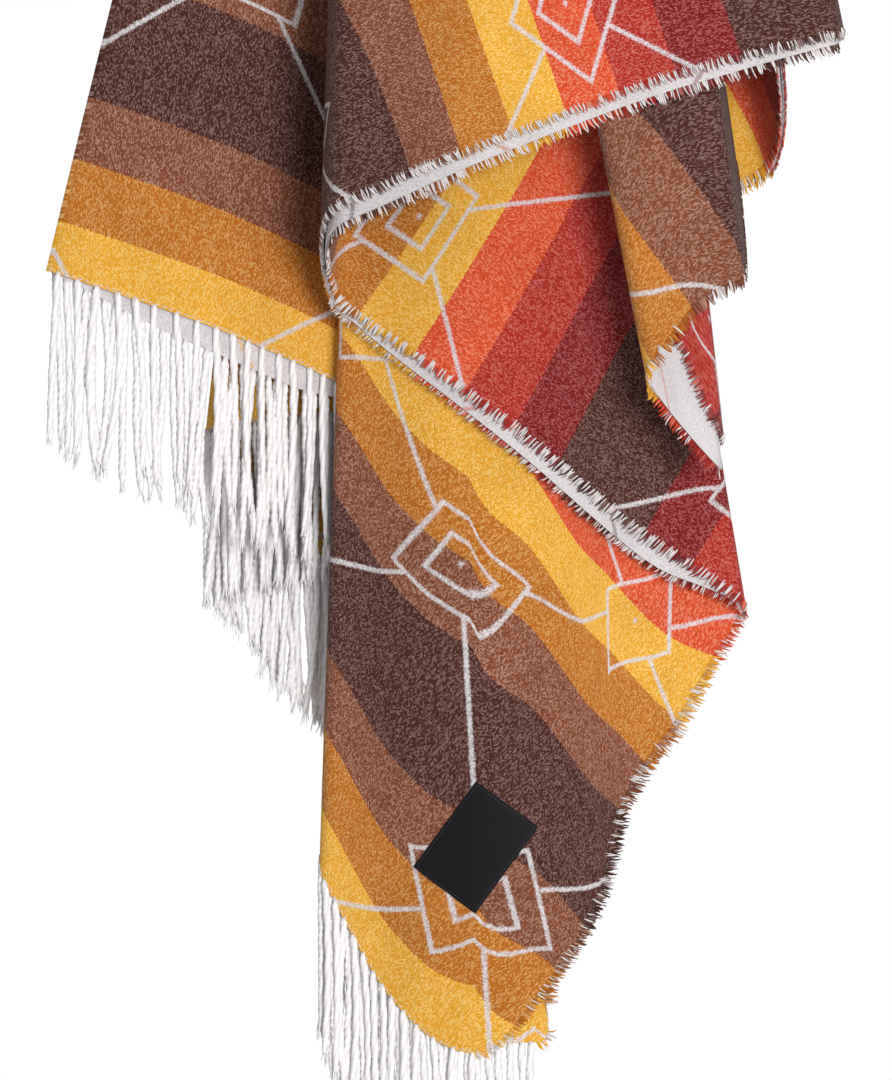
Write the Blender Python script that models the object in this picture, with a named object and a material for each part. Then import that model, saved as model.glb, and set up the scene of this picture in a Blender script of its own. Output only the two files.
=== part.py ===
# Folded blanket: a striped wool throw, doubled along its centre line and hung
# from one point of that fold, so that its open edges fall in cascading folds.
# The origin is the point it hangs from, +Z is up and the viewer stands at -Y.

import math
from collections import namedtuple

import bmesh
import bpy
import numpy as np
from mathutils import Vector
from mathutils.bvhtree import BVHTree

MM = 0.001

# The cloth
CLOTH_THICK = 2.0
LAYER_GAP = 0.9
TURN_STEPS = 4
PASS_STEP = 28.0
RISE_STEPS = (0.0, 0.03, 0.1, 0.25, 0.5, 0.94)

# How the folds fan out below the hanging point
TOP_PITCH = 7.6
LOW_PITCH = 12.6
FULL_DROP = 1155.0
TOP_SHOULDER = 14.0
MIDDLE_RANK = 9.0
VALLEY_X = -68.0
VALLEY_DEPTH = 34.0
VALLEY_WIDTH = 36.0
VALLEY_DROP = 650.0

# The fringe
STRAND_PITCH = 11.5
STRAND_WIDE = 5.0
STRAND_DEEP = 1.6
STRAND_LONG = 105.0
STRIP_TALL = 3.2
STRIP_GAP = 0.8
STEEPEST = 3.0

# The woven label
LABEL_WIDE = 45.0
LABEL_LONG = 63.0
LABEL_THICK = 0.7
LABEL_GAP = 0.5
LABEL_X = 15.0
LABEL_DROP = 1034.0
LABEL_TURN = math.radians(-36.0)

# The panels in their order along the open edges, each with its place from
# front (1) to back (17)
PANELS = (11, 12, 13, 10, 9, 8, 1, 6, 5, 2, 3, 4, 7, 14, 15, 16, 17)

# One row for each fold, corner and bend of the open edges, from the near end
# of the centre fold round to its far end. Sizes in mm: x, drop below the
# hanging point, size of the turn, x at the top, lift of the hem of either
# layer, sideways shift of the second layer, push towards the back.
Row = namedtuple("Row", "place kind x drop turn spread top_x lift_1 lift_2 shift_2 push")

ROWS = (
    Row("near fold end", "end", -234, 697, 0, 0.75, -19, 0, 0, 0, -22),
    Row("left panel", "bend", -146, 727, 0, 0.70, -10, 0, -13, 0, -22),
    Row("left panel right", "bend", -94, 748, 0, 0.65, 0, 0, -14, 0, -8),
    Row("first back fold", "right", -42, 771, 6, 0.60, 9, 0, -2, 0, 0),
    Row("second back fold", "left", -143, 790, 6, 0.65, -14, 0, 0, 0, 0),
    Row("back panel", "bend", -85, 858, 0, 0.65, 0, 0, 0, 0, 0),
    Row("third back fold", "right", -12, 912, 8, 0.60, 16, 0, 0, 0, 0),
    Row("back panel low", "bend", -40, 972, 0, 0.58, 0, 0, 0, 0, 0),
    Row("long left fold", "left", -75, 1047, 6, 0.56, -14, 0, -2, 0, 0),
    Row("long hem left", "bend", -62, 1080, 0, 0.60, -8.5, 0, -3, 0, 0),
    Row("long hem middle", "bend", -36, 1122, 0, 0.65, -6, 0, -2, 0, 0),
    Row("long hem right", "bend", -4, 1150, 0, 0.70, -3, 0, 2, 26, 0),
    Row("near corner", "corner", 15, 1155, 0, 0.75, -1, 0, 7, 37, 0),
    Row("long edge low", "bend", 58, 1111, 0, 0.80, 2, 0, 2, 3, 0),
    Row("long edge middle", "bend", 88, 1059, 0, 0.85, 4, 0, -2, 0, 0),
    Row("long edge hollow", "bend", 101, 1006, 0, 0.88, 6, 0, -3, 0, 0),
    Row("long edge high", "bend", 133, 958, 0, 0.92, 9, 0, -4, 0, 0),
    Row("right fold", "right", 170, 891, 6, 0.95, 14, 0, -2, 0, 0),
    Row("second edge right", "bend", 111, 848, 0, 0.85, 5, -12, 0, 0, 0),
    Row("second edge middle", "bend", 38, 787, 0, 0.75, -4, -13, 0, 0, 0),
    Row("second edge left", "bend", -29, 737, 0, 0.60, -12, -12, 0, 0, 0),
    Row("left fold", "left", -73, 681, 12, 0.45, -25, -4, -8, 0, 0),
    Row("front edge left", "bend", -50, 656, 0, 0.50, -15, 0, -13, 0, 0),
    Row("front edge middle", "bend", 30, 625, 0, 0.55, -5, 0, -14, 0, 0),
    Row("front edge right", "bend", 140, 586, 0, 0.55, 10, 0, -12, 0, 0),
    Row("far right fold", "right", 223, 563, 10, 0.55, 24, 0, -5, 0, 0),
    Row("hidden pleat", "left", 140, 556, 6, 0.60, -8, 0, 0, 0, 0),
    Row("flap right fold", "right", 167, 695, 7, 0.60, 17, 0, 0, 0, 0),
    Row("flap edge", "bend", 142, 718, 0, 0.80, 4, 8, 0, 0, 0),
    Row("flap left fold", "left", 114, 760, 6, 1.20, -10, 22, 0, 0, 0),
    Row("open inside", "bend", 132, 789, 0, 0.90, 0, 64, 0, 0, 0),
    Row("flap lower fold", "right", 156, 814, 6, 0.58, 10, 18, 0, 0, 0),
    Row("hidden rise", "bend", 120, 690, 0, 0.60, -3, 0, 0, 0, 0),
    Row("hidden left fold", "left", 86, 572, 7, 0.60, -16, 0, 0, 0, 0),
    Row("hidden edge", "bend", 165, 552, 0, 0.58, 4, 0, 0, 0, 0),
    Row("rear right fold", "right", 195, 609, 10, 0.58, 24, 0, -3, 0, 0),
    Row("rear edge right", "bend", 163, 647, 0, 0.60, 16, -6, 0, 0, 0),
    Row("rear edge middle", "bend", 85, 755, 0, 0.60, 6, -6, 0, 0, 0),
    Row("far corner", "corner", 12, 872, 0, 0.60, -6, 0, -3, 0, 0),
    Row("rear left fold", "left", -57, 833, 6, 0.60, -14, 0, -2, 0, 0),
    Row("rear fold right", "right", 114, 734, 6, 0.65, 14, 0, 0, 0, 0),
    Row("rear upper fold", "left", -146, 588, 6, 0.65, -14, 0, 0, 0, 0),
    Row("far fold end", "end", -12, 515, 0, 0.70, 12, 0, 0, 0, 0),
)

COLOURS = {
    "blanket": (0.30, 0.12, 0.05, 1.0),
    "fringe": (0.86, 0.84, 0.80, 1.0),
    "label": (0.012, 0.012, 0.014, 1.0),
}


def clear_scene():
    for thing in list(bpy.data.objects):
        bpy.data.objects.remove(thing, do_unlink=True)


def cloth_material(name, colour, roughness):
    material = bpy.data.materials.new(name)
    material.use_nodes = True
    shader = material.node_tree.nodes["Principled BSDF"]
    shader.inputs["Base Color"].default_value = colour
    shader.inputs["Roughness"].default_value = roughness
    shader.inputs["Metallic"].default_value = 0.0
    return material


def add_object(name, bm, material):
    mesh = bpy.data.meshes.new(name)
    bm.to_mesh(mesh)
    bm.free()
    mesh.materials.append(material)
    thing = bpy.data.objects.new(name, mesh)
    bpy.context.scene.collection.objects.link(thing)
    mesh.shade_smooth()
    mesh.set_sharp_from_angle(angle=math.radians(50.0))
    return thing


def pitch_at(drop):
    """Distance from one panel to the next at this drop."""
    share = max(drop, 0.0) / FULL_DROP
    return TOP_PITCH + (LOW_PITCH - TOP_PITCH) * share ** 0.8


def valley_at(x, drop):
    """How far the cloth sinks back beside the left folds."""
    share = min(max(drop, 0.0) / VALLEY_DROP, 1.0)
    centre = VALLEY_X * share ** 0.55
    width = VALLEY_WIDTH * share ** 0.3 + 4.0
    return VALLEY_DEPTH * share ** 1.6 * math.exp(-((x - centre) / width) ** 2 / 2)


def plan_of_edges():
    """The open edges seen from above: each turn is half an ellipse between two
    panels, and each panel runs straight from row to row."""
    stations = []
    panel = 0
    for row in ROWS:
        if row.kind in ("right", "left"):
            sign = 1.0 if row.kind == "right" else -1.0
            before, after = PANELS[panel], PANELS[panel + 1]
            top_turn = TOP_PITCH / 2 + 0.4 * (abs(after - before) - 1)
            for step in range(TURN_STEPS + 1):
                angle = math.pi * (step / TURN_STEPS - 0.5)
                back = 1.0 - math.cos(angle)
                stations.append({
                    "row": row if step == TURN_STEPS // 2 else None,
                    "turn": row,
                    "x": row.x - sign * row.turn * back,
                    "top_x": row.top_x - sign * top_turn * back,
                    "rank": (before + after) / 2 + (after - before) / 2 * math.sin(angle),
                })
            panel += 1
        else:
            rank = float(PANELS[panel])
            stations.append({"row": row, "turn": row, "x": row.x, "top_x": row.top_x, "rank": rank})
    return stations


def fill_panels(stations):
    """Adds stations along the panels, about PASS_STEP apart."""
    filled = [stations[0]]
    for here, there in zip(stations, stations[1:]):
        count = 1
        if here["rank"] == there["rank"]:
            count = max(1, round(abs(there["x"] - here["x"]) / PASS_STEP))
        for step in range(1, count + 1):
            share = step / count
            between = {}
            for key in ("x", "top_x", "rank"):
                between[key] = here[key] + (there[key] - here[key]) * share
            between["row"] = there["row"] if step == count else None
            between["turn"] = there["turn"] if step == count else None
            filled.append(between)
    return filled


def smooth_between(places, knots, values):
    """Values at the places, on a cubic through the knots that never overshoots."""
    knots = np.asarray(knots, float)
    values = np.asarray(values, float)
    gaps = np.diff(knots)
    slopes = np.diff(values) / gaps
    tangents = np.zeros(len(knots))
    same_way = slopes[:-1] * slopes[1:] > 0
    mean = 2 * slopes[:-1] * slopes[1:] / np.where(same_way, slopes[:-1] + slopes[1:], 1.0)
    tangents[1:-1] = np.where(same_way, mean, 0.0)
    tangents[0], tangents[-1] = slopes[0], slopes[-1]
    spot = np.clip(np.searchsorted(knots, places, side="right") - 1, 0, len(gaps) - 1)
    share = (np.asarray(places) - knots[spot]) / gaps[spot]
    rise = share * share * (3 - 2 * share)
    start = share * (1 - share) ** 2
    end = share * share * (share - 1)
    return (
        values[spot] * (1 - rise)
        + values[spot + 1] * rise
        + gaps[spot] * (start * tangents[spot] + end * tangents[spot + 1])
    )


def edge_stations():
    """Every station of the open edges with all its values."""
    stations = fill_panels(plan_of_edges())
    along = [0.0]
    for here, there in zip(stations, stations[1:]):
        step = math.hypot(there["x"] - here["x"], (there["rank"] - here["rank"]) * LOW_PITCH)
        along.append(along[-1] + max(step, 0.5))
    for holder, keys in (("row", ("drop", "lift_1", "lift_2")), ("turn", ("spread", "shift_2", "push"))):
        held = [index for index, station in enumerate(stations) if station[holder]]
        knots = [along[index] for index in held]
        for key in keys:
            values = [getattr(stations[index][holder], key) for index in held]
            for station, value in zip(stations, smooth_between(along, knots, values)):
                station[key] = float(value)
    return stations


def top_height(station):
    return -TOP_SHOULDER * ((station["rank"] - MIDDLE_RANK) / MIDDLE_RANK) ** 2


def cloth_point(station, height, shifted=0.0):
    """The middle of the doubled cloth on this fold line at this height."""
    top = top_height(station)
    share = max((top - height) / (top + station["drop"]), 0.0)
    across = share ** station["spread"]
    x = station["top_x"] + (station["x"] - station["top_x"]) * across + shifted * share ** 5
    y = (station["rank"] - MIDDLE_RANK) * pitch_at(-height)
    y += valley_at(x, -height) + station["push"] * share ** 2
    return Vector((x, y, height))


def side_of(stations, index, height, shifted=0.0):
    """The level direction square to the cloth there, mitred at its turns."""
    here = cloth_point(stations[index], height, shifted)
    sides = []
    for other in (index - 1, index + 1):
        if 0 <= other < len(stations):
            step = (cloth_point(stations[other], height, shifted) - here) * (other - index)
            step.z = 0.0
            if step.length > 1e-6:
                sides.append(Vector((step.y, -step.x, 0.0)).normalized())
    total = sum(sides, Vector())
    side = total.normalized()
    return side * min(1.0 / max(side.dot(sides[0]), 0.2), 1.25)


def hem_height(station, layer):
    lift = station["lift_1"] if layer == 1 else station["lift_2"]
    return -(station["drop"] - lift)


def layer_point(stations, index, height, layer, away):
    """A point of one layer, this far from the middle of the doubled cloth."""
    station = stations[index]
    shifted = station["shift_2"] if layer == 2 else 0.0
    outward = 1.0 if layer == 1 else -1.0
    side = side_of(stations, index, height, shifted)
    return cloth_point(station, height, shifted) + side * (outward * away)


def end_direction(stations, index):
    """The level direction in which the cloth ends at its centre fold."""
    inner = 1 if index == 0 else len(stations) - 2
    height = -stations[index]["drop"] * 0.5
    step = cloth_point(stations[index], height) - cloth_point(stations[inner], height)
    step.z = 0.0
    return step.normalized()


def cloth_columns(stations, away):
    """One column of points for each station of both layers and both ends of
    the centre fold, in order round the doubled cloth."""
    def rise(index, layer):
        top = top_height(stations[index])
        upper_hem = max(hem_height(stations[index], 1), hem_height(stations[index], 2))
        levels = [top + (upper_hem - top) * share for share in RISE_STEPS]
        return levels + [hem_height(stations[index], layer)]

    def nose(index):
        tip = end_direction(stations, index) * away
        return [cloth_point(stations[index], height) + tip for height in rise(index, 1)]

    columns = [nose(0)]
    for layer, order in ((1, range(len(stations))), (2, reversed(range(len(stations))))):
        for index in order:
            columns.append([layer_point(stations, index, z, layer, away) for z in rise(index, layer)])
        if layer == 1:
            columns.append(nose(len(stations) - 1))
    return columns


def add_skin(bm, stations, away):
    """One skin of the doubled cloth, closed over the centre fold at the top.
    Both layers split their faces along the same diagonals."""
    columns = [
        [bm.verts.new(point * MM) for point in column] for column in cloth_columns(stations, away)
    ]
    count = len(stations)
    for index, column in enumerate(columns):
        following = columns[(index + 1) % len(columns)]
        for row in range(len(RISE_STEPS)):
            a, b = column[row], column[row + 1]
            c, d = following[row + 1], following[row]
            if index <= count:
                bm.faces.new((a, b, c))
                bm.faces.new((a, c, d))
            else:
                bm.faces.new((a, b, d))
                bm.faces.new((b, c, d))
    ridge = []
    for station in stations:
        peak = cloth_point(station, top_height(station))
        peak.z += away
        ridge.append(bm.verts.new(peak * MM))
    first, last = columns[0], columns[count + 1]
    layer_1 = columns[1:count + 1]
    layer_2 = list(reversed(columns[count + 2:]))
    for index in range(count - 1):
        bm.faces.new((layer_1[index][0], layer_1[index + 1][0], ridge[index]))
        bm.faces.new((layer_1[index + 1][0], ridge[index + 1], ridge[index]))
        bm.faces.new((layer_2[index][0], ridge[index], layer_2[index + 1][0]))
        bm.faces.new((layer_2[index + 1][0], ridge[index], ridge[index + 1]))
    for nose, index in ((first, 0), (last, count - 1)):
        bm.faces.new((nose[0], layer_1[index][0], ridge[index]))
        bm.faces.new((nose[0], ridge[index], layer_2[index][0]))
    return [column[-1] for column in columns]


def build_blanket(stations):
    bm = bmesh.new()
    outer_hem = add_skin(bm, stations, LAYER_GAP / 2 + CLOTH_THICK)
    inner_hem = add_skin(bm, stations, LAYER_GAP / 2)
    for index in range(len(outer_hem)):
        after = (index + 1) % len(outer_hem)
        bm.faces.new((outer_hem[index], inner_hem[index], inner_hem[after]))
        bm.faces.new((outer_hem[index], inner_hem[after], outer_hem[after]))
    bmesh.ops.recalc_face_normals(bm, faces=bm.faces)
    return add_object("blanket", bm, cloth_material("brushed wool", COLOURS["blanket"], 0.95))


def hem_steepness(stations, index, layer, away):
    """Length of the hem per mm of its level run here, on its steeper side."""
    here = layer_point(stations, index, hem_height(stations[index], layer), layer, away)
    steepest = 1.0
    for other in (index - 1, index + 1):
        if 0 <= other < len(stations):
            there = layer_point(stations, other, hem_height(stations[other], layer), layer, away)
            level = math.hypot(there.x - here.x, there.y - here.y)
            steepest = max(steepest, (there - here).length / max(level, 0.5))
    return min(steepest, STEEPEST)


def hem_sections(stations, corner, end, under):
    """Places just under a fringed end, from its corner up one layer to the
    centre fold, round it and back down the other. Each is a point, the level
    direction square to the cloth and the rank."""
    away = LAYER_GAP / 2 + CLOTH_THICK / 2
    step = 1 if end > corner else -1
    indexes = list(range(corner, end + step, step))
    places = []
    for layer, order in ((1, indexes), (2, indexes[::-1])):
        for index in order:
            steepness = hem_steepness(stations, index, layer, away)
            height = hem_height(stations[index], layer) - under * steepness
            point = layer_point(stations, index, height, layer, away)
            shifted = stations[index]["shift_2"] if layer == 2 else 0.0
            side = side_of(stations, index, height, shifted)
            places.append((point, side * (1.0 if layer == 1 else -1.0), stations[index]["rank"]))
        if layer == 1:
            station = stations[end]
            outward = end_direction(stations, end)
            tip = cloth_point(station, -station["drop"] - under * steepness) + outward * away
            places.append((tip, outward, station["rank"]))
    return places


def build_fringe(name, stations, corner, end):
    """Strands on a narrow strip just under a fringed end. The strip follows
    the hem from fold to fold and every strand keeps to a straight piece."""
    upper = hem_sections(stations, corner, end, STRIP_GAP)
    lower = hem_sections(stations, corner, end, STRIP_GAP + STRIP_TALL)
    half = STRAND_DEEP / 2
    bm = bmesh.new()

    def section(spot, share):
        corners = []
        for places, way in ((upper, 1), (lower, 1), (lower, -1), (upper, -1)):
            here, there = places[spot], places[min(spot + 1, len(places) - 1)]
            point = here[0].lerp(there[0], share) + here[1].lerp(there[1], share) * (way * half)
            corners.append(bm.verts.new(point * MM))
        return corners

    def bridge(left, right, open_below):
        for corner in (0, 2, 3) if open_below else (0, 1, 2, 3):
            after = (corner + 1) % 4
            bm.faces.new((left[corner], right[corner], right[after], left[after]))

    wanted = 0.5
    placed = 0
    previous = section(0, 0.0)
    bm.faces.new(previous)
    for spot in range(len(upper) - 1):
        start, stop = lower[spot][0], lower[spot + 1][0]
        level = Vector((stop.x - start.x, stop.y - start.y, 0.0))
        length = (stop - start).length
        wanted += length / STRAND_PITCH
        room = int(level.length / (STRAND_WIDE + 1.6))
        count = min(max(int(wanted) - placed, 0), room)
        for number in range(count):
            middle = (number + 0.5) / count
            reach = STRAND_WIDE / 2 / level.length
            left, right = section(spot, middle - reach), section(spot, middle + reach)
            bridge(previous, left, False)
            bridge(left, right, True)
            rank = lower[spot][2] + (lower[spot + 1][2] - lower[spot][2]) * middle
            root = start.lerp(stop, middle)
            tip = root - Vector((0.0, 0.0, STRAND_LONG))
            tip.y += (rank - MIDDLE_RANK) * (pitch_at(-tip.z) - pitch_at(-root.z))
            tip.y += valley_at(tip.x, -tip.z) - valley_at(root.x, -root.z)
            wide = level.normalized() * (STRAND_WIDE / 2)
            deep = lower[spot][1].lerp(lower[spot + 1][1], middle).normalized() * half
            ends = (tip - wide + deep, tip + wide + deep, tip + wide - deep, tip - wide - deep)
            tips = [bm.verts.new(point * MM) for point in ends]
            roots = (left[1], right[1], right[2], left[2])
            for corner in range(4):
                after = (corner + 1) % 4
                bm.faces.new((roots[corner], roots[after], tips[after], tips[corner]))
            bm.faces.new(tips)
            previous = right
        placed += count
        following = section(spot + 1, 0.0)
        bridge(previous, following, False)
        previous = following
    bm.faces.new(previous)
    bmesh.ops.recalc_face_normals(bm, faces=bm.faces)
    print(name, placed, "strands")
    return add_object(name, bm, cloth_material("cotton yarn " + name, COLOURS["fringe"], 0.9))


def build_label(blanket):
    """The woven label, laid on the front of the long panel."""
    columns, rows = 5, 7
    bm = bmesh.new()
    bmesh.ops.create_grid(bm, x_segments=columns, y_segments=rows, size=0.5)
    tree = BVHTree.FromObject(blanket, bpy.context.evaluated_depsgraph_get())
    cosine, sine = math.cos(LABEL_TURN), math.sin(LABEL_TURN)
    for vert in bm.verts:
        across, up = vert.co.x * LABEL_WIDE, vert.co.y * LABEL_LONG
        x = (LABEL_X + across * cosine - up * sine) * MM
        z = (-LABEL_DROP + across * sine + up * cosine) * MM
        hit = tree.ray_cast(Vector((x, -1.0, z)), Vector((0.0, 1.0, 0.0)))[0]
        vert.co = Vector((x, hit.y - LABEL_GAP * MM, z))
    made = bmesh.ops.extrude_face_region(bm, geom=list(bm.faces), use_keep_orig=True)["geom"]
    front = [piece for piece in made if isinstance(piece, bmesh.types.BMVert)]
    bmesh.ops.translate(bm, verts=front, vec=(0.0, -LABEL_THICK * MM, 0.0))
    bmesh.ops.recalc_face_normals(bm, faces=bm.faces)
    return add_object("label", bm, cloth_material("woven label", COLOURS["label"], 0.7))


def main():
    clear_scene()
    stations = edge_stations()
    named = [index for index, station in enumerate(stations) if station["row"]]
    corners = [index for index in named if stations[index]["row"].kind == "corner"]
    blanket = build_blanket(stations)
    build_fringe("fringe_near", stations, corners[0], 0)
    build_fringe("fringe_far", stations, corners[1], len(stations) - 1)
    bpy.context.view_layer.update()
    build_label(blanket)
    for thing in bpy.data.objects:
        thing.data.calc_loop_triangles()
        print(thing.name, len(thing.data.loop_triangles), "triangles")


main()
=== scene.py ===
# A striped wool throw, doubled along its centre line and hung from one point.
# Sizes in the tables are millimetres, flat places on the cloth are in units of
# 36.25 mm, and the meshes are in metres.

import math
import random
from collections import namedtuple

import bmesh
import bpy
import numpy as np
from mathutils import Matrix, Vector
from mathutils.bvhtree import BVHTree


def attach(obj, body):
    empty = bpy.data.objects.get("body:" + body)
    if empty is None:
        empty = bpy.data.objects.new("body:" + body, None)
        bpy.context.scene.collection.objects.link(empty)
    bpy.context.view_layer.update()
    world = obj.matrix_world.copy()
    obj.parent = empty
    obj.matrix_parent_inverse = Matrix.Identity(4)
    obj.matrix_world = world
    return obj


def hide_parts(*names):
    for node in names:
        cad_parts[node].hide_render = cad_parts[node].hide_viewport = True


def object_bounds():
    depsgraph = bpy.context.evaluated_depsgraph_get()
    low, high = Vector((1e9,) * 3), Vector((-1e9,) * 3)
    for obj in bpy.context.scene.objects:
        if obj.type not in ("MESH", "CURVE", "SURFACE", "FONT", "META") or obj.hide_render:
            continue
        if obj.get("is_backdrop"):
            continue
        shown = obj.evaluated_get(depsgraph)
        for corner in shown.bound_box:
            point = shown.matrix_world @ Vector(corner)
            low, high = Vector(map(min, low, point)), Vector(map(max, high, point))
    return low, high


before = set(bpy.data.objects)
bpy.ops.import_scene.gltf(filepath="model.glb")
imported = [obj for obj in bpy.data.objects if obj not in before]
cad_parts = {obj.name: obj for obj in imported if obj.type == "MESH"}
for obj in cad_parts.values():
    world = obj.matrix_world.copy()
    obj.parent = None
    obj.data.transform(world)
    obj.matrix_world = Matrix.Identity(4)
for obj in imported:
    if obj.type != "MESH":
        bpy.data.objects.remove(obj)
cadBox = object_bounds()

millimetre = 0.001
flatUnit = 36.25
random.seed(7)

clothSettings = {
    "length": 56.0,  # flat units
    "outer": 2.45,  # the striped and the white face, off the middle between the two layers
    "inner": 0.45,
    "mitre": 0.8,  # a sharp fold's faces move out no further than one over this
    "stationStep": 7.6,  # between the columns of points along the open edges
    "leastStep": 0.3,
    "turnSteps": 8,  # columns round a fold
    "topPitch": 7.6,  # between panels, at the hanging point and at the lowest hem
    "lowPitch": 12.6,
    "fullDrop": 1155.0,
    "pitchPower": 0.8,
    "widerTurn": 0.4,  # for each panel that a fold passes over
    "shoulder": 14.0,  # the outer panels' tops lie this far below the middle one's
    "middleRank": 9.0,
    "valleyX": -68.0,  # a hollow runs down the front, left of the middle
    "valleyDepth": 34.0,
    "valleyWidth": 36.0,
    "valleyNeck": 4.0,
    "valleyDrop": 650.0,
    "valleyPowers": (0.55, 0.3, 1.6),  # how its lean, width and depth grow with the drop
    # Size, spacing across and down, step from panel to panel, and start of each wave.
    "waves": ((1.1, 75.0, 92.0, 0.35, 0.0), (0.8, 43.0, -150.0, 0.0, 1.0)),
    "curlWide": 9,  # columns and rows by the near corner where the inside is turned out
    "curlTall": 3,
    "riseShares": (0.0, 0.012, 0.03, 0.055, 0.085) + tuple(np.linspace(0.12, 1.0, 34)),
}

# The panels' places from front to back, in order along the open edges.
panelRanks = (11, 12, 13, 10, 9, 8, 1, 6, 5, 2, 3, 4, 7, 14, 15, 16, 17)

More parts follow.
